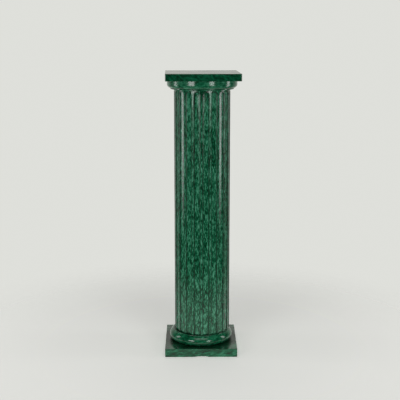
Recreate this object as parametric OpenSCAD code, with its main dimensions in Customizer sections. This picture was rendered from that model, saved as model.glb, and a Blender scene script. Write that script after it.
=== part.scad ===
// Doric column pedestal of polished green stone, about one metre high.
// Five pieces stand one on another: a square plinth, a base torus, a fluted
// shaft, a round capital and a square abacus.
// Millimetres, +Z up, front towards -Y, origin at the middle of the underside.

/* [Shaft] */
// Height of the shaft between the base torus and the capital
shaft_high = 876; // [400:1:1600]
// Radius of the shaft at its foot
shaft_foot_r = 99.7; // [80:0.1:130]
// Radius of the shaft under the capital
shaft_top_r = 98.9; // [78:0.1:130]
// How far the shaft and the pieces on it stand right of the plinth's middle
shaft_shift = 4.5; // [-6:0.5:6]
// How far the shaft is turned from square-on, in degrees
shaft_turn = -2; // [-10:0.5:10]

/* [Flutes] */
// Number of flutes round the shaft
flute_count = 20; // [12:2:24]
// Width of one flute between its two arrises
flute_wide = 22.5; // [8:0.5:24]
// Depth of one flute below the round of the shaft
flute_deep = 4; // [2:0.1:7]
// Plain neck between the rounded top of a flute and the capital
flute_neck = 5; // [1:0.5:60]

/* [Base torus] */
// Height of the base torus
torus_high = 39; // [20:0.5:60]
// How far the torus stands out beyond the foot of the shaft
torus_proud = 15; // [10:0.5:30]
// Height of the torus's widest line above the plinth
torus_belly = 14.5; // [6:0.5:18]
// How far the thin listel on the torus stands out beyond the foot of the shaft
listel_proud = 0.8; // [0.2:0.1:3]

/* [Plinth] */
// Thickness of the plinth
plinth_thick = 30.5; // [15:0.5:60]
// How far each side of the plinth stands out beyond the torus
plinth_margin = 14.4; // [5:0.1:60]
// Radius of the upright corners of the plinth and the abacus
corner_r = 2.5; // [1:0.5:8]

/* [Chip in the lower front edge of the plinth] */
// Length of the chip along the edge
chip_long = 56; // [20:1:120]
// Height of the chip up the front face
chip_high = 3; // [1:0.5:8]
// Depth of the chip across the underside
chip_deep = 9; // [4:0.5:20]
// Where the chip starts, measured left from the middle of the front
chip_left = 30; // [10:1:80]

/* [Capital] */
// Height of the thin annulet round the neck
annulet_high = 4; // [3:0.5:12]
// How far the annulet stands out beyond the top of the shaft
annulet_proud = 13.2; // [5:0.1:25]
// Height of the echinus between the annulet and the abacus
echinus_high = 28.5; // [15:0.5:50]
// How far the echinus stands out beyond the top of the shaft
echinus_proud = 24.8; // [12:0.1:45]
// Radius of the quarter round under the echinus
echinus_round = 12.5; // [4:0.5:14]

/* [Abacus] */
// Thickness of the abacus
abacus_thick = 25; // [12:0.5:60]
// How far each side of the abacus stands out beyond the echinus
abacus_margin = 5.9; // [3:0.1:50]
// How far the abacus is turned on the capital, in degrees
abacus_turn = 1.5; // [-5:0.5:5]

/* [Hidden] */
$fn = 96;
dark_green = [0.02, 0.20, 0.11];
green = [0.05, 0.30, 0.17];

// Plan sizes, each worked outward from the shaft
torus_r = shaft_foot_r + torus_proud;
listel_r = shaft_foot_r + listel_proud;
plinth_side = 2 * (torus_r + plinth_margin);
annulet_r = shaft_top_r + annulet_proud;
echinus_r = shaft_top_r + echinus_proud;
abacus_side = 2 * (echinus_r + abacus_margin);

// Heights at which the pieces meet
torus_z = plinth_thick;
shaft_z = torus_z + torus_high;
capital_z = shaft_z + shaft_high;
abacus_z = capital_z + annulet_high + echinus_high;

// A flute is part of a round channel: its rise is the depth measured from the
// straight line between its arrises, and its radius follows from that
flute_half_angle = asin(flute_wide / 2 / shaft_foot_r);
flute_rise = flute_deep - shaft_foot_r * (1 - cos(flute_half_angle));
flute_r = (pow(flute_wide / 2, 2) + pow(flute_rise, 2)) / (2 * flute_rise);
flute_out = flute_r - flute_deep;
flute_lean = atan((shaft_foot_r - shaft_top_r) / shaft_high);
flute_apse = sqrt(pow(flute_r, 2) - pow(flute_out, 2));
flute_long = shaft_high - flute_neck - flute_apse;

// Cutting tools pass this far beyond the stone they cut
overcut = 4;
chip_slope = atan(chip_high / chip_deep);

// Square slab with slightly rounded upright corners, standing on z = 0
module slab(side, thick, r) {
    straight = side - 2 * r;
    linear_extrude(thick) {
        square([side, straight], center = true);
        square([straight, side], center = true);
        for (x = [-1, 1], y = [-1, 1])
            translate([x * straight / 2, y * straight / 2]) circle(r);
    }
}

// Round disc with a half-round edge, standing on z = 0
module half_round_disc(r, high) {
    rotate_extrude() {
        square([r - high / 2, high]);
        translate([r - high / 2, high / 2]) circle(high / 2);
    }
}

// Round disc with an upright edge that turns under in a quarter round
module ovolo_disc(r, high, round_r) {
    rotate_extrude() {
        square([r - round_r, high]);
        translate([0, round_r]) square([r, high - round_r]);
        translate([r - round_r, round_r]) circle(round_r);
    }
}

// Long flake missing from an edge: it opens gently from the left, is highest
// in its middle, ends sharply on the right and runs out across the underside
module chip() {
    opening = [0.2 * chip_long, 0.4 * chip_high];
    outline = [
        -opening * overcut / opening.y, opening, [0.4 * chip_long, 0.95 * chip_high],
        [0.75 * chip_long, chip_high], [0.97 * chip_long, 0.5 * chip_high],
        [chip_long, -overcut]
    ];
    translate([-chip_left, chip_deep - plinth_side / 2, 0])
        rotate([90 - chip_slope, 0, 0]) translate([0, -chip_high, -overcut])
            linear_extrude(chip_deep / cos(chip_slope) + 2 * overcut) polygon(outline);
}

// One flute of the shaft, cut on its +X side, with a rounded top
module flute() {
    translate([shaft_foot_r + flute_out, 0, 0]) rotate([0, -flute_lean, 0]) {
        translate([0, 0, -overcut]) cylinder(h = flute_long + overcut, r = flute_r);
        translate([0, 0, flute_long]) sphere(flute_r);
    }
}

module plinth() {
    color(green) difference() {
        slab(plinth_side, plinth_thick, corner_r);
        chip();
    }
}

// The torus turns under in a small quarter round and over in a larger one,
// and a thin listel on it carries the shaft
module base_torus() {
    over = torus_high - torus_belly;
    color(green) translate([0, 0, torus_z]) rotate_extrude() {
        square([torus_r - torus_belly, torus_belly]);
        intersection() {
            translate([torus_r - torus_belly, torus_belly]) circle(torus_belly);
            square([torus_r, torus_belly]);
        }
        translate([0, torus_belly]) square([torus_r - over, over]);
        intersection() {
            translate([torus_r - over, torus_belly]) circle(over);
            translate([0, torus_belly]) square([torus_r, over]);
        }
        square([listel_r, torus_high]);
    }
}

// Every other flute round the shaft: neighbouring cutters overlap outside the
// stone, so the two sets are cut one after the other
module flute_set(first) {
    pitch = 360 / flute_count;
    for (i = [first : 2 : flute_count - 1]) rotate([0, 0, (i + 0.5) * pitch]) flute();
}

module shaft() {
    color(green) translate([shaft_shift, 0, shaft_z]) rotate([0, 0, shaft_turn - 90]) difference() {
        difference() {
            cylinder(h = shaft_high, r1 = shaft_foot_r, r2 = shaft_top_r);
            flute_set(0);
        }
        flute_set(1);
    }
}

module capital() {
    color(green) translate([shaft_shift, 0, capital_z]) {
        half_round_disc(annulet_r, annulet_high);
        translate([0, 0, annulet_high]) ovolo_disc(echinus_r, echinus_high, echinus_round);
    }
}

module abacus() {
    color(dark_green) translate([shaft_shift, 0, abacus_z]) rotate([0, 0, abacus_turn])
        slab(abacus_side, abacus_thick, corner_r);
}

plinth();
base_torus();
shaft();
capital();
abacus();
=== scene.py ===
"""Looks of the doric column pedestal: five pieces of polished green marble.

Each piece stands where the CAD node that it replaces stands, and takes its height from it.
Metres, +Z up, front towards -Y.
"""
import math

import bpy
import numpy as np
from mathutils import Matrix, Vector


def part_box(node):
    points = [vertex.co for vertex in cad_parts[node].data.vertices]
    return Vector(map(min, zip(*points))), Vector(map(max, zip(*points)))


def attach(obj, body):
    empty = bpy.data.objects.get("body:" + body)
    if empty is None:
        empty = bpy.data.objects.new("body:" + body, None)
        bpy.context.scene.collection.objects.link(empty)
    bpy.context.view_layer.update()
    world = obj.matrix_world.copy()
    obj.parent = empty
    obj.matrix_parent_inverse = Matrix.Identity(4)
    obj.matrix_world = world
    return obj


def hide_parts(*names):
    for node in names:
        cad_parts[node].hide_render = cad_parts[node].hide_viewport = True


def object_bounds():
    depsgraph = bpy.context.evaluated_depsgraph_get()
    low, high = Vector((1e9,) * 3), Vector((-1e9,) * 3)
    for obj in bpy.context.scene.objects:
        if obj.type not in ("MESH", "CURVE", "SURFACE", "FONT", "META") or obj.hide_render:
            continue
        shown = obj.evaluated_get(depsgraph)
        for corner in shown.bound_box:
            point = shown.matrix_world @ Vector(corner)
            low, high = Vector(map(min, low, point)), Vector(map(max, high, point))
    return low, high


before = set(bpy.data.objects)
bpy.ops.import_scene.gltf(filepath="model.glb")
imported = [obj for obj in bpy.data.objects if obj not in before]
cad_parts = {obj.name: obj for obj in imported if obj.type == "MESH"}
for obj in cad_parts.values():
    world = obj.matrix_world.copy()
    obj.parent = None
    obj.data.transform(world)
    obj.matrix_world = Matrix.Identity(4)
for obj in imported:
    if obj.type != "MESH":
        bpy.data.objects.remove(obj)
cad_low, cad_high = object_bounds()

MM = 0.001
SEED = 7

# Shaft and flutes
FOOT_R = 99.7 * MM         # radius of the shaft at its foot
TOP_R = 98.9 * MM          # radius of the shaft under the capital
SHAFT_TURN = -2.0          # degrees that the shaft is turned from square-on
FLUTES = 20
FLUTE_WIDE = 22.5 * MM
FLUTE_DEEP = 4.0 * MM
FLUTE_NECK = 5.0 * MM      # plain stone between a flute's top and the capital
FLUTE_BED_R = 50 * MM      # radius of the shallow arc across a flute's bed
FLUTE_SIDE = 0.65 * MM     # width that the steep side of a flute takes up
FLUTE_TIP = 0.12           # share of their width that a flute's columns keep at its very top
ARRIS_R = 0.3 * MM         # round of the worn arrises

# Rows and columns of the shaft's mesh
ROW_STEP = 6.5 * MM
BED_COLUMNS = 8            # across half of a flute's bed
LIP_COLUMNS = 3            # round an arris
FILLET_COLUMNS = 3         # across half of a fillet
APSE_ROWS = 12             # up the rounded top of a flute
NECK_ROWS = 4

# Turned pieces
AROUND = 256               # columns of vertices round a turned piece
TORUS_BELLY = 14.5 * MM    # height of the torus's widest line above the plinth
LISTEL_R = 100.5 * MM      # radius of the thin listel on the torus
ANNULET_HIGH = 4.0 * MM
ANNULET_R = 112.1 * MM
ECHINUS_ROUND = 12.5 * MM  # radius of the quarter round under the echinus
ECHINUS_ROWS = 8           # rows up its upright edge, with both ends
SEAT_EASE = 0.8 * MM       # small round where a turned piece meets its neighbour
SEAM_ANGLE = 84            # degrees that a curve turns through before the annulet's upper seam
CORE = 0.5                 # share of its radius at which one face closes a flat end

# Slabs
PLINTH_SIDE = 258.2 * MM
ABACUS_SIDE = 259.2 * MM
ABACUS_TURN = 1.5          # degrees that the abacus is turned on the capital
CORNER_R = 2.5 * MM        # radius of the upright corners
SHARPEST = 0.02            # share of that radius that is left near a flat face's middle
EDGE_R = 1.0 * MM          # round of the long edges
SLAB_STEP = 2.5 * MM       # spacing of the mesh columns along a side
CORNER_STEPS = 5           # steps round an upright corner
EDGE_STEPS = 4             # steps round a long edge
SIDE_ROWS = 9              # rows up a side, over the close ones that the chip needs
FLAT_INSETS = [inset * MM for inset in (1.0, 1.6, 2.4, 3.4, 4.6, 6, 8, 11, 16, 26, 45, 80)]
CLOSE_HEIGHTS = [height * MM for height in (1.5, 2.0, 2.6, 3.2, 4.0, 5.0)]
SIDE_START = 7 * MM

# Chip in the lower front edge of the plinth
CHIP_LEFT = 30 * MM
CHIP_LONG = 56 * MM
CHIP_HIGH = 3.0 * MM
CHIP_DEEP = 9.0 * MM
CHIP_ALONG = (0, 0.2, 0.4, 0.75, 0.97, 1.0)  # shares of its length
CHIP_RISE = (0, 0.4, 0.95, 1.0, 0.5, 0)      # its height there, as shares of its full height
CHIP_RAGGED = ((0.16, 23, 1), (0.1, 57, 0))  # share, rate and phase of each wave of its outline
CHIP_ROUGH = ((0.12, 1400, 0), (0.1, 900, 1500))  # share, rate along and rate back, of its bed
CHIP_PUSH = 0.75           # share of its depth that the slab's face is pushed back by at most
FACE_REACH = 0.6 * EDGE_R  # how far behind the front a point still counts as on the face

# Unevenness of the stone: how far it strays, and the size of its waves
WAVES = 7
WAVE_SPREAD = (0.7, 1.6)   # slowest and fastest wave, as shares of the stated rate
ROUND_STRAY = 0.12 * MM    # of the shaft and the turned pieces
FILLET_STRAY_DEEP = 1 * MM  # depth in a flute at which the fillets' unevenness has died out
SHAFT_WAVE = 70 * MM
TURNED_WAVE = 90 * MM
SLAB_STRAY = 0.08 * MM
SLAB_WAVE = 120 * MM
DENT_DEEP = 0.9 * MM
DENT_WAVE = 34 * MM
DENT_RARITY = 0.75         # height of the waves that make a dent, out of about 1

# Painted shade and worn edges, each with how far it reaches
WALL_SHADE = 0.85           # strength of the painted shade in the corners of a flute
WALL_SHADE_IN = 0.8 * MM    # distance of its middle line from the arris
WALL_SHADE_FULL = 0.75 * MM
WALL_SHADE_REACH = 2.25 * MM
FOOT_SHADE_REACH = 5 * MM
TOP_SHADE = 0.5             # strength of the painted shade under the capital
TOP_SHADE_REACH = 3 * MM
SEAT_SHADE_REACH = 1.4 * MM
PLINTH_SHADE_R = 130 * MM   # shade is painted on the plinth's top round the torus, up to this radius
PLINTH_SHADE_FADE = 22 * MM
ARRIS_WEAR_REACH = 0.7 * MM
EDGE_WEAR_REACH = 2 * EDGE_R
CORNER_WEAR_REACH = 2.5 * CORNER_R
ON_SIDE = 0.3 * MM         # a point this near to a slab's side is on it

# Marble, with its colours as linear RGB
DARK = (0.0008, 0.030, 0.011)
DEEP = (0.0015, 0.070, 0.028)
GREEN = (0.005, 0.135, 0.058)
LIGHT = (0.034, 0.250, 0.128)
PALE = (0.115, 0.440, 0.270)
# painted shade: the dark green that the stone is darkened towards where it lies in shade
PAINTED_SHADE = (0.0006, 0.013, 0.004)
WORN_STONE = (0.09, 0.24, 0.16)
BROKEN_STONE = (0.2, 0.3, 0.25)
SHAFT_TONES = ((0.40, DARK), (0.447, DEEP), (0.493, GREEN), (0.535, LIGHT), (0.585, PALE))
TORUS_TONES = ((0.35, DARK), (0.43, DEEP), (0.52, GREEN), (0.62, LIGHT), (0.73, PALE))
CAPITAL_TONES = ((0.29, DARK), (0.36, DEEP), (0.45, GREEN), (0.54, LIGHT), (0.66, PALE))
PLINTH_TONES = ((0.38, DARK), (0.44, DEEP), (0.52, GREEN), (0.62, LIGHT), (0.75, PALE))
ABACUS_TONES = ((0.40, DARK), (0.49, DEEP), (0.60, GREEN), (0.74, LIGHT))
BEND = 0.007               # metres that the flecks' run wanders by
CLOUD_SIZE = 0.3           # scale of the broad clouds, as a share of the flecks' scale
FLECK_SHARE = 0.68         # the flecks' part of the tone, and the rest is the clouds'
PAINTED_SHADE_PATCHES = ((0.3, 0.7), (0.6, 0.95))    # noise and the strength of the painted shade that it gives
WORN_PATCHES = ((0.5, 0.75), (0.0, 0.35))   # noise and the strength of the wear that it gives
SMEAR = (0.35, 0.7)        # noise over which the polish goes from its best to its worst
# roughness added where shade is painted
PAINTED_SHADE_ROUGHNESS = 0.25
BREAK_ROUGHNESS = 0.5
STONE_IOR = 1.5
RELIEF_DEEP = 0.15 * MM
RELIEF_STRENGTH = 0.3
PIT_SHARE = 0.3            # the pits' part of the relief, and the rest is the flecks'

# Camera
CAMERA_BACK = 3.017        # metres in front of the shaft's axis
CAMERA_SIDE = -0.0076      # metres right of it
CAMERA_UP = 1.1515         # metres above the floor
CAMERA_TILT = 11.33        # degrees downward
CAMERA_TURN = -0.5         # degrees round the column
SENSOR = 36.0              # millimetres
LENS = 76.95

# Studio
BACKDROP = (0.735, 0.742, 0.705)
ROOM_TINT = (1.0, 1.0, 0.94)
ROOM_FRONT = 0.02          # strength of the room's light from in front of the column
ROOM_BEHIND = 0.66         # and from behind it
ROOM_TURN = (0.3, 0.95)    # backward part of a direction where it starts to brighten and ends
FLOOR_COLOUR = (0.84, 0.845, 0.815)
FLOOR_GLOW = (1.0, 1.0, 0.965)
FLOOR_GLOW_STRENGTH = 0.33
FLOOR_HALF = 6.0
FLOOR_SOLID = 0.4          # the floor is opaque up to this far from the column
FLOOR_GONE = 1.2           # and gone from here on, where the backdrop shows


def middle(node):
    """The middle of a node's box, seen from above."""
    low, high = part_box(node)
    return (low.x + high.x) / 2, (low.y + high.y) / 2


def fade(distance, gone, full=0.0):
    """1 up to the distance full, and falling evenly to 0 at the distance gone."""
    return np.clip((gone - distance) / (gone - full), 0, 1)


def waves(points, size, seed):
    """Smooth seeded unevenness, about -1 to 1, with the given size in metres."""
    random = np.random.default_rng(seed)
    total = np.zeros(points.shape[:-1])
    for _ in range(WAVES):
        direction = random.normal(size=3)
        direction *= random.uniform(*WAVE_SPREAD) / np.linalg.norm(direction)
        phase = random.uniform(0, 2 * math.pi)
        total += np.sin(points @ direction * 2 * math.pi / size + phase)
    return total / (WAVES / 2)


# ---------------------------------------------------------------- mesh tools
def tube_mesh(name, points, attributes):
    """Mesh from rows of points that close on themselves, capped at both ends.

    points has the shape (rows, columns, 3). attributes maps a name to one value per point.
    """
    rows, columns = points.shape[:2]
    index = np.arange(rows * columns).reshape(rows, columns)
    below, above = index[:-1], index[1:]
    quads = np.stack([below, np.roll(below, -1, 1), np.roll(above, -1, 1), above], -1)
    caps = [index[0, ::-1].tolist(), index[-1].tolist()]
    mesh = bpy.data.meshes.new(name)
    mesh.from_pydata(points.reshape(-1, 3).tolist(), [], quads.reshape(-1, 4).tolist() + caps)
    smooth = np.ones(len(mesh.polygons), dtype=bool)
    smooth[-len(caps):] = False
    mesh.polygons.foreach_set("use_smooth", smooth)
    for key, values in attributes.items():
        layer = mesh.attributes.new(key, "FLOAT", "POINT")
        layer.data.foreach_set("value", values.ravel().astype(np.float32))
    piece = bpy.data.objects.new(name, mesh)
    bpy.context.scene.collection.objects.link(piece)
    return piece


def place(piece, node, material):
    """Puts a finished piece in the place of its CAD node."""
    piece.data.materials.append(material)
    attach(piece, "root")
    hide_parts(node)


# ---------------------------------------------------------------- shaft
def flute_depth(reach):
    """Depth of a flute at a distance from its middle line.

    The bed is a shallow arc, a steep side rises from it, and a small arc rounds each arris.
    """
    half = FLUTE_WIDE / 2
    bed_half = half - FLUTE_SIDE
    bed_drop = FLUTE_BED_R - np.sqrt(FLUTE_BED_R ** 2 - np.minimum(reach, bed_half) ** 2)
    bed = FLUTE_DEEP - bed_drop
    rise = np.clip((reach - bed_half) / (FLUTE_SIDE - ARRIS_R), 0, 1)
    side = bed + (ARRIS_R - bed) * rise
    lip = ARRIS_R - np.sqrt(np.clip(ARRIS_R ** 2 - (half - reach) ** 2, 0, None))
    return np.where(reach < half - ARRIS_R, side, np.where(reach < half, lip, 0.0))


def flute_columns():
    """Distances from a flute's middle to each mesh column up to the next flute's middle."""
    half = FLUTE_WIDE / 2
    pitch = 2 * math.pi * FOOT_R / FLUTES
    bed = (half - FLUTE_SIDE) * np.sin(np.linspace(0, math.pi / 2, BED_COLUMNS))
    lip = half - ARRIS_R * np.cos(np.linspace(0, math.pi / 2, LIP_COLUMNS))
    fillet = np.linspace(half, pitch / 2, FILLET_COLUMNS)[1:]
    side = np.concatenate([bed, lip, fillet])
    return np.concatenate([side, pitch - side[-2:0:-1]]), pitch


def shaft_heights(low, high, flute_end):
    """Heights of the shaft's mesh rows, from its foot to its top."""
    body = np.linspace(low, flute_end, round((flute_end - low) / ROW_STEP))
    climb = np.sin(np.linspace(0, math.pi / 2, APSE_ROWS))[1:]
    neck = np.linspace(high - FLUTE_NECK, high, NECK_ROWS)[1:]
    return np.concatenate([body, flute_end + FLUTE_WIDE / 2 * climb, neck])[:, None]


def make_shaft(material):
    low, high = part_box("shaft")
    half = FLUTE_WIDE / 2
    flute_end = high.z - FLUTE_NECK - half
    z = shaft_heights(low.z, high.z, flute_end)
    across, pitch = flute_columns()
    signed = np.where(across > pitch / 2, across - pitch, across)

    # The columns inside a flute draw together towards its rounded top
    past = np.clip((z - flute_end) / half, 0, 1)
    narrow = np.maximum(np.sqrt(1 - past ** 2), FLUTE_TIP)
    inside = np.abs(signed)[None, :] <= half
    spread = (pitch / 2 - np.abs(signed)[None, :]) / (pitch / 2 - half)
    beside = pitch / 2 - spread * (pitch / 2 - half * narrow)
    offset = np.sign(signed) * np.where(inside, np.abs(signed) * narrow, beside)

    reach = np.hypot(offset, np.clip(z - flute_end, 0, None))
    depth = flute_depth(reach)
    radius = FOOT_R + (TOP_R - FOOT_R) * (z - low.z) / (high.z - low.z) - depth

    # The columns past the middle of a fillet belong to the next flute
    flutes = np.arange(FLUTES)[None, :, None] + (across > pitch / 2)
    angle = (flutes + 0.5) * 2 * math.pi / FLUTES + (offset / FOOT_R)[:, None, :]
    angle = angle.reshape(len(z), -1) + math.radians(SHAFT_TURN - 90)
    radius = np.tile(radius, (1, FLUTES))
    x = middle("shaft")[0] + radius * np.cos(angle)
    points = np.stack([x, radius * np.sin(angle), np.broadcast_to(z, radius.shape)], -1)
    flat = fade(np.tile(depth, (1, FLUTES)), FILLET_STRAY_DEEP)
    worn = ROUND_STRAY * (waves(points, SHAFT_WAVE, SEED) - 1) * flat
    points[..., 0] += worn * np.cos(angle)
    points[..., 1] += worn * np.sin(angle)

    # Painted shade: darker in the corners of each flute, at the foot on the torus and under the
    # capital
    wall = fade(np.abs(reach - (half - WALL_SHADE_IN)), WALL_SHADE_REACH, WALL_SHADE_FULL)
    foot = fade(z - low.z, FOOT_SHADE_REACH)
    top = fade(high.z - z, TOP_SHADE_REACH)
    painted_shade = np.tile(WALL_SHADE * wall, (1, FLUTES)) + foot + TOP_SHADE * top
    edge = np.tile(fade(np.abs(reach - half), ARRIS_WEAR_REACH), (1, FLUTES))
    piece = tube_mesh("fluted_shaft", points, {"painted_shade": np.clip(painted_shade, 0, 1), "edge": edge})
    place(piece, "shaft", material)


# ---------------------------------------------------------------- turned pieces
def arc(centre_r, centre_z, radius, start, end, count):
    """Points of an arc in the (radius, height) plane, from start to end degrees."""
    angle = np.radians(np.linspace(start, end, count))
    return [(centre_r + radius * math.cos(a), centre_z + radius * math.sin(a)) for a in angle]


def make_turned(name, node, profile, painted_shade, material):
    """Piece turned round the middle of its node.

    profile runs from the underside to the top as (radius, height), with the painted shade at each
    point.
    """
    x, y = middle(node)
    angle = np.linspace(0, 2 * math.pi, AROUND, endpoint=False)[None, :]
    radius = profile[:, :1]
    height = np.broadcast_to(profile[:, 1:], (len(profile), AROUND))
    points = np.stack([x + radius * np.cos(angle), y + radius * np.sin(angle), height], -1)
    stray = ROUND_STRAY * (waves(points, TURNED_WAVE, SEED + 1) - 1)
    points[..., 0] += stray * np.cos(angle)
    points[..., 1] += stray * np.sin(angle)
    painted_shade = np.broadcast_to(painted_shade[:, None], height.shape)
    piece = tube_mesh(name, points, {"painted_shade": painted_shade, "edge": np.zeros(height.shape)})
    place(piece, node, material)


def make_torus(material):
    """The torus: a small quarter round under, a larger curve over, and a thin listel on it."""
    low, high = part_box("base_torus")
    outer = (high.x - low.x) / 2
    belly = low.z + TORUS_BELLY
    over = high.z - belly
    listel_angle = math.degrees(math.acos((LISTEL_R - outer + over) / over))
    profile = [(CORE * (outer - TORUS_BELLY), low.z)]
    profile += arc(outer - TORUS_BELLY, belly, TORUS_BELLY, -90, 0, count=22)
    profile += arc(outer - over, belly, over, 0, listel_angle, count=24)[1:]
    profile += arc(LISTEL_R - SEAT_EASE, high.z - SEAT_EASE, SEAT_EASE, 0, 90, count=5)
    profile += [(CORE * LISTEL_R, high.z)]
    profile = np.array(profile)
    height = profile[:, 1]
    # Painted shade: darker over the torus's lower half down to the plinth, and at its seat under
    # the shaft
    painted_shade = np.maximum(fade(height - low.z, TORUS_BELLY), fade(high.z - height, SEAT_SHADE_REACH))
    make_turned("torus_ring", "base_torus", profile, painted_shade, material)


def make_capital(material):
    """The echinus, upright above a quarter round, on a flat annulet with eased edges."""
    low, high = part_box("capital")
    outer = (high.x - low.x) / 2
    bed = low.z + ANNULET_HIGH
    round_end = bed + ECHINUS_ROUND
    top_ease = high.z - SEAT_EASE
    profile = [(CORE * ANNULET_R, low.z)]
    profile += arc(ANNULET_R - SEAT_EASE, low.z + SEAT_EASE, SEAT_EASE, -90, 0, count=4)
    profile += arc(ANNULET_R - SEAT_EASE, bed - SEAT_EASE, SEAT_EASE, 0, SEAM_ANGLE, count=4)
    profile += arc(outer - ECHINUS_ROUND, round_end, ECHINUS_ROUND, -SEAM_ANGLE, 0, count=22)
    profile += [(outer, z) for z in np.linspace(round_end, top_ease, ECHINUS_ROWS)[1:-1]]
    profile += arc(outer - SEAT_EASE, top_ease, SEAT_EASE, 0, 90, count=4)
    profile += [(CORE * outer, high.z)]
    profile = np.array(profile)
    # Painted shade in the crevice where the echinus meets the annulet
    painted_shade = fade(np.abs(profile[:, 1] - bed), SEAT_SHADE_REACH)
    make_turned("echinus_and_annulet", "capital", profile, painted_shade, material)


# ---------------------------------------------------------------- slabs
def slab_outline(side, inset):
    """Columns round a square with rounded corners, drawn in by inset at every side."""
    half = side / 2
    straight = half - CORNER_R
    run = np.linspace(-straight, straight, round(2 * straight / SLAB_STEP) + 1)
    turn = np.radians(np.linspace(0, 90, CORNER_STEPS + 1))[1:-1]
    corner = max(CORNER_R - inset, SHARPEST * CORNER_R)
    centre = half - inset - corner
    edge = [(x * centre / straight, inset - half) for x in run]
    edge += [(centre + corner * math.sin(a), -centre - corner * math.cos(a)) for a in turn]
    points = []
    for quarter in range(4):
        c, s = math.cos(quarter * math.pi / 2), math.sin(quarter * math.pi / 2)
        points += [(x * c - y * s, x * s + y * c) for x, y in edge]
    return points


def slab_rows(thick):
    """Rows of a slab's mesh as (inset, height), from the middle of the underside to the top."""
    turn = np.radians(np.linspace(0, 90, EDGE_STEPS + 1))[1:]
    lower = [(inset, 0.0) for inset in reversed(FLAT_INSETS)]
    under = [(EDGE_R * (1 - math.sin(a)), EDGE_R * (1 - math.cos(a))) for a in turn]
    side = [(0.0, z) for z in CLOSE_HEIGHTS]
    side += [(0.0, z) for z in np.linspace(SIDE_START, thick - EDGE_R, SIDE_ROWS)]
    over = [(inset, thick - z) for inset, z in reversed(under[:-1])]
    upper = [(inset, thick) for inset in FLAT_INSETS]
    return lower + under + side + over + upper


def chip_height(x):
    """Height of the chip at a distance along the front edge."""
    along = (x + CHIP_LEFT) / CHIP_LONG
    outline = np.interp(along, CHIP_ALONG, CHIP_RISE, 0, 0)
    ragged = sum(share * np.sin(along * rate + phase) for share, rate, phase in CHIP_RAGGED)
    return CHIP_HIGH * outline * (1 + ragged)


def carve_chip(points, front):
    """Breaks a flake out of the lower front edge: the break slopes back under the slab.

    Returns which points lie on the break.
    """
    x, y, z = points[..., 0], points[..., 1], points[..., 2]
    high = chip_height(x)
    back = y - front
    rough = sum(share * np.sin(x * right + back * away) for share, right, away in CHIP_ROUGH)
    deep = CHIP_DEEP * (1 + rough)
    near = (high > 0) & (back < deep) & (z < high * (1 - back / deep))
    on_face = near & (back < FACE_REACH)
    safe_high = np.where(on_face, high, 1)
    pushed = np.minimum(deep * (1 - z / safe_high), CHIP_PUSH * deep)
    raised = high * (1 - np.clip(back, 0, None) / deep)
    points[..., 1] = np.where(on_face, front + pushed, y)
    points[..., 2] = np.where(near & ~on_face, raised, z)
    return near


def make_slab(name, node, side, turn, material, is_plinth=False):
    """Square slab. The plinth also has the chip, and painted shade on its top round the torus."""
    low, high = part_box(node)
    x, y = middle(node)
    thick = high.z - low.z
    rows = slab_rows(thick)
    points = np.array([[(px, py, z) for px, py in slab_outline(side, inset)] for inset, z in rows])
    inset = np.array([row[0] for row in rows])[:, None]
    height = points[..., 2]
    gaps = side / 2 - np.abs(points[..., :2])
    corner_wear = fade(gaps.max(-1), CORNER_WEAR_REACH) * (gaps.min(-1) < ON_SIDE)
    edge = fade(inset + np.minimum(height, thick - height), EDGE_WEAR_REACH)
    edge = np.maximum(edge, corner_wear)

    # Small dents worn into the long edges, and faces that aren't perfectly flat
    dents = np.clip(waves(points, DENT_WAVE, SEED + 2) - DENT_RARITY, 0, 1) * edge * DENT_DEEP
    flat = SLAB_STRAY * (waves(points, SLAB_WAVE, SEED + 3) - 1)
    away = points[..., :2] / np.linalg.norm(points[..., :2], axis=-1, keepdims=True)
    points[..., :2] += (np.where(inset < EDGE_R, flat, 0) - dents)[..., None] * away
    painted_shade = broken = np.zeros(height.shape)
    if is_plinth:
        broken = carve_chip(points, -side / 2)
        # Painted shadow and reflection of the torus: the plinth's top darkens round it, fading out
        # towards the corners
        distance = np.linalg.norm(points[..., :2], axis=-1)
        around = fade(distance, PLINTH_SHADE_R + PLINTH_SHADE_FADE, PLINTH_SHADE_R)
        painted_shade = around * fade(thick - height, EDGE_R)

    t = math.radians(turn)
    turned_x = points[..., 0] * math.cos(t) - points[..., 1] * math.sin(t)
    turned_y = points[..., 0] * math.sin(t) + points[..., 1] * math.cos(t)
    placed = np.stack([x + turned_x, y + turned_y, low.z + height], -1)
    piece = tube_mesh(name, placed, {"painted_shade": painted_shade, "edge": edge, "broken": broken})
    place(piece, node, material)


# ---------------------------------------------------------------- materials
def add(tree, kind, inputs=None, **settings):
    """New node. An input is a value, or a socket to link from."""
    node = tree.nodes.new(kind)
    for key, value in settings.items():
        setattr(node, key, value)
    for key, value in (inputs or {}).items():
        if isinstance(value, bpy.types.NodeSocket):
            tree.links.new(value, node.inputs[key])
        else:
            node.inputs[key].default_value = value
    return node


def maths(tree, operation, a, b):
    return add(tree, "ShaderNodeMath", {0: a, 1: b}, operation=operation).outputs[0]


def vector_maths(tree, operation, inputs):
    return add(tree, "ShaderNodeVectorMath", inputs, operation=operation).outputs[0]


def mix(tree, a, b, share):
    """The value a, with a share of it taken by b."""
    kept = maths(tree, "MULTIPLY", a, 1 - share)
    return maths(tree, "ADD", kept, maths(tree, "MULTIPLY", b, share))


def remap(tree, value, given, wanted, smooth=False):
    """Maps the range given to the range wanted, each as (low, high)."""
    inputs = {"Value": value, "From Min": given[0], "From Max": given[1],
              "To Min": wanted[0], "To Max": wanted[1]}
    kind = "SMOOTHSTEP" if smooth else "LINEAR"
    return add(tree, "ShaderNodeMapRange", inputs, interpolation_type=kind).outputs["Result"]


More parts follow.
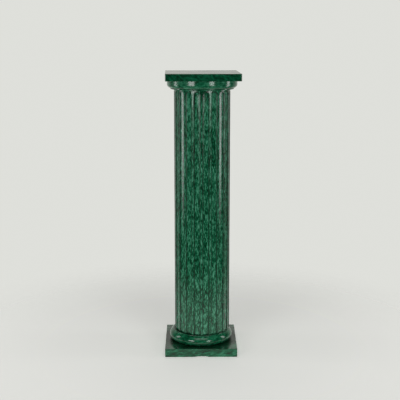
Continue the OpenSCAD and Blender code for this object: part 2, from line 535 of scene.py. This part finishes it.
def tint(tree, factor, under, colour):
    """Lays a plain colour over another by a factor."""
    inputs = {0: factor, 6: under, 7: (*colour, 1)}
    return add(tree, "ShaderNodeMix", inputs, data_type="RGBA").outputs[2]


def ramp(tree, value, stops):
    node = add(tree, "ShaderNodeValToRGB", {"Fac": value})
    elements = node.color_ramp.elements
    while len(elements) < len(stops):
        elements.new(0.5)
    for element, (position, colour) in zip(elements, stops):
        element.position = position
        element.color = (*colour, 1)
    return node.outputs["Color"]


def attribute(tree, name):
    return add(tree, "ShaderNodeAttribute", attribute_name=name).outputs["Fac"]


def noise(tree, vector, scale, detail, roughness=0.5, distortion=0.0):
    inputs = {"Vector": vector, "Scale": scale, "Detail": detail, "Roughness": roughness,
              "Distortion": distortion}
    return add(tree, "ShaderNodeTexNoise", inputs)


def figure(tree, spot, turn, grain, seed):
    """The stone's figure: the noise of its flecks, and its tone, in which clouds join them."""
    turned = {"Vector": spot, "Rotation": tuple(math.radians(a) for a in turn),
              "Location": (seed, seed * 0.7, seed * 0.3)}
    run = add(tree, "ShaderNodeMapping", turned).outputs[0]
    bend = noise(tree, run, scale=22.0, detail=2.0).outputs["Color"]
    bend = vector_maths(tree, "SUBTRACT", {0: bend, 1: (0.5, 0.5, 0.5)})
    bend = vector_maths(tree, "SCALE", {0: bend, "Scale": BEND})
    run = vector_maths(tree, "ADD", {0: run, 1: bend})
    size = tuple(1 / (g * MM) for g in grain)
    cloud_size = tuple(s * CLOUD_SIZE for s in size)
    fine = add(tree, "ShaderNodeMapping", {"Vector": run, "Scale": size}).outputs[0]
    broad = add(tree, "ShaderNodeMapping", {"Vector": run, "Scale": cloud_size}).outputs[0]
    flecks = noise(tree, fine, 1.0, detail=4.0, roughness=0.66, distortion=0.2).outputs["Fac"]
    clouds = noise(tree, broad, 1.0, detail=3.0, roughness=0.55, distortion=0.6).outputs["Fac"]
    return flecks, mix(tree, flecks, clouds, 1 - FLECK_SHARE)


def marble(name, tones, seed, turn, grain, polish):
    """Polished green marble with painted shade, worn edges and pits.

    turn, in degrees, and grain, in millimetres, set the run and the size of its flecks. tones
    gives their colours. polish is the roughness where the stone shines most and least.
    """
    material = bpy.data.materials.new(name)
    material.use_nodes = True
    tree = material.node_tree
    shader = tree.nodes["Principled BSDF"]
    spot = add(tree, "ShaderNodeTexCoord").outputs["Object"]
    flecks, tone = figure(tree, spot, turn, grain, seed)

    patches = noise(tree, spot, scale=90.0, detail=3.0).outputs["Fac"]
    # Painted shade: the stone darkens, in patches, where the mesh marks it as lying in shade
    painted_shade_share = maths(tree, "MULTIPLY", attribute(tree, "painted_shade"), remap(tree, patches, *PAINTED_SHADE_PATCHES))
    worn = maths(tree, "MULTIPLY", attribute(tree, "edge"), remap(tree, patches, *WORN_PATCHES))
    broken = attribute(tree, "broken")
    colour = tint(tree, painted_shade_share, ramp(tree, tone, tones), PAINTED_SHADE)
    colour = tint(tree, worn, colour, WORN_STONE)
    colour = tint(tree, broken, colour, BROKEN_STONE)
    tree.links.new(colour, shader.inputs["Base Color"])

    smear = noise(tree, spot, scale=14.0, detail=4.0).outputs["Fac"]
    rough = remap(tree, smear, SMEAR, polish)
    rough = maths(tree, "ADD", rough, maths(tree, "MULTIPLY", painted_shade_share, PAINTED_SHADE_ROUGHNESS))
    rough = maths(tree, "ADD", rough, maths(tree, "MULTIPLY", broken, BREAK_ROUGHNESS))
    tree.links.new(rough, shader.inputs["Roughness"])
    shader.inputs["IOR"].default_value = STONE_IOR

    pits = noise(tree, spot, scale=320.0, detail=3.0).outputs["Fac"]
    relief = {"Height": mix(tree, flecks, pits, PIT_SHARE), "Strength": RELIEF_STRENGTH,
              "Distance": RELIEF_DEEP}
    bump = add(tree, "ShaderNodeBump", relief)
    tree.links.new(bump.outputs["Normal"], shader.inputs["Normal"])
    return material


# ---------------------------------------------------------------- camera and studio
def make_camera():
    data = bpy.data.cameras.new("camera")
    data.sensor_width = SENSOR
    data.lens = LENS
    camera = bpy.data.objects.new("camera", data)
    turn = math.radians(CAMERA_TURN)
    camera.location = (
        middle("shaft")[0] + CAMERA_SIDE * math.cos(turn) + CAMERA_BACK * math.sin(turn),
        CAMERA_SIDE * math.sin(turn) - CAMERA_BACK * math.cos(turn),
        CAMERA_UP,
    )
    camera.rotation_euler = (math.radians(90 - CAMERA_TILT), 0, turn)
    bpy.context.scene.collection.objects.link(camera)
    bpy.context.scene.camera = camera


def area_light(name, width, high, radiance, location, rotation):
    """Rectangular light that the camera doesn't see. A radiance of 1 would look plain white."""
    data = bpy.data.lights.new(name, "AREA")
    data.shape = "RECTANGLE"
    data.size = width
    data.size_y = high
    data.energy = radiance * math.pi * width * high
    light = bpy.data.objects.new(name, data)
    light.location = location
    light.rotation_euler = rotation
    light.visible_camera = False
    bpy.context.scene.collection.objects.link(light)
    return data


def softbox(name, azimuth, distance, bottom, top, width, radiance, fade_share):
    """Upright softbox that faces the column, and dims over the lowest share of its height."""
    a = math.radians(azimuth)
    location = (distance * math.sin(a), -distance * math.cos(a), (bottom + top) / 2)
    data = area_light(name, width, top - bottom, radiance, location, (math.radians(90), 0, a))
    data.use_nodes = True
    tree = data.node_tree
    across = add(tree, "ShaderNodeNewGeometry").outputs["Parametric"]
    up = add(tree, "ShaderNodeSeparateXYZ", {0: across}).outputs["Y"]
    strength = remap(tree, up, (0.0, fade_share), (0.0, 1.0), smooth=True)
    tree.links.new(strength, tree.nodes["Emission"].inputs["Strength"])


def overhead(radiance, side, forward, up):
    """Large soft light above and in front of the column, tipped to face its middle."""
    tip = math.atan2(forward, up - cad_high.z / 2)
    area_light("overhead", side, side, radiance, (0, -forward, up), (tip, 0, 0))


def make_world():
    """A plain backdrop for the camera, and a room for the stone that is bright behind it."""
    world = bpy.data.worlds.new("world")
    world.use_nodes = True
    tree = world.node_tree
    tree.nodes.clear()
    direction = add(tree, "ShaderNodeTexCoord").outputs["Generated"]
    behind = add(tree, "ShaderNodeSeparateXYZ", {0: direction}).outputs["Y"]
    glow = remap(tree, behind, ROOM_TURN, (ROOM_FRONT, ROOM_BEHIND), smooth=True)
    room = add(tree, "ShaderNodeBackground", {"Color": (*ROOM_TINT, 1), "Strength": glow})
    seen = add(tree, "ShaderNodeBackground", {"Color": (*BACKDROP, 1)})
    camera_ray = add(tree, "ShaderNodeLightPath").outputs["Is Camera Ray"]
    choice = {"Fac": camera_ray, 1: room.outputs[0], 2: seen.outputs[0]}
    shown = add(tree, "ShaderNodeMixShader", choice).outputs[0]
    add(tree, "ShaderNodeOutputWorld", {"Surface": shown})
    bpy.context.scene.world = world


def make_floor():
    """Pale floor that takes the column's shadow and fades into the backdrop."""
    corners = [(x * FLOOR_HALF, y * FLOOR_HALF, 0) for x, y in ((-1, -1), (1, -1), (1, 1), (-1, 1))]
    mesh = bpy.data.meshes.new("floor")
    mesh.from_pydata(corners, [], [(0, 1, 2, 3)])
    floor = bpy.data.objects.new("floor", mesh)
    bpy.context.scene.collection.objects.link(floor)
    material = bpy.data.materials.new("floor_paper")
    material.use_nodes = True
    tree = material.node_tree
    shader = tree.nodes["Principled BSDF"]
    shader.inputs["Base Color"].default_value = (*FLOOR_COLOUR, 1)
    shader.inputs["Roughness"].default_value = 0.9
    shader.inputs["Emission Color"].default_value = (*FLOOR_GLOW, 1)
    shader.inputs["Emission Strength"].default_value = FLOOR_GLOW_STRENGTH
    spot = add(tree, "ShaderNodeTexCoord").outputs["Object"]
    reach = add(tree, "ShaderNodeVectorMath", {0: spot}, operation="LENGTH").outputs["Value"]
    cover = remap(tree, reach, (FLOOR_SOLID, FLOOR_GONE), (1.0, 0.0), smooth=True)
    tree.links.new(cover, shader.inputs["Alpha"])
    mesh.materials.append(material)


# ---------------------------------------------------------------- the column in its studio
shaft_marble = marble("shaft_marble", SHAFT_TONES, seed=1.3, turn=(0, 0, 0),
                      grain=(2.8, 2.8, 12.0), polish=(0.11, 0.2))
torus_marble = marble("torus_marble", TORUS_TONES, seed=4.1, turn=(0, 12, 0),
                      grain=(12.0, 12.0, 5.0), polish=(0.09, 0.17))
capital_marble = marble("capital_marble", CAPITAL_TONES, seed=5.6, turn=(0, 12, 0),
                        grain=(12.0, 12.0, 5.0), polish=(0.11, 0.2))
plinth_marble = marble("plinth_marble", PLINTH_TONES, seed=7.7, turn=(0, 12, 0),
                       grain=(18.0, 18.0, 5.0), polish=(0.06, 0.14))
abacus_marble = marble("abacus_marble", ABACUS_TONES, seed=9.2, turn=(0, -32, 0),
                       grain=(14.0, 14.0, 6.0), polish=(0.12, 0.2))

make_camera()
make_shaft(shaft_marble)
make_torus(torus_marble)
make_capital(capital_marble)
make_slab("plinth_slab", "plinth", PLINTH_SIDE, 0, plinth_marble, is_plinth=True)
make_slab("abacus_slab", "abacus", ABACUS_SIDE, ABACUS_TURN, abacus_marble)

for name, azimuth, radiance in (("left", -94, 4.4), ("right", 90, 4.8)):
    softbox(name, azimuth, distance=1.6, bottom=0.03, top=1.12, width=0.32, radiance=radiance,
            fade_share=0.5)
for name, azimuth, width in (("front_left", -35, 1.15), ("front_right", 30, 0.85)):
    softbox(name, azimuth, distance=3.3, bottom=0.5, top=1.3, width=width, radiance=9.5,
            fade_share=0.5)
overhead(radiance=1.3, side=2.4, forward=1.9, up=2.9)
make_world()
make_floor()
bpy.context.scene.view_settings.view_transform = "Standard"
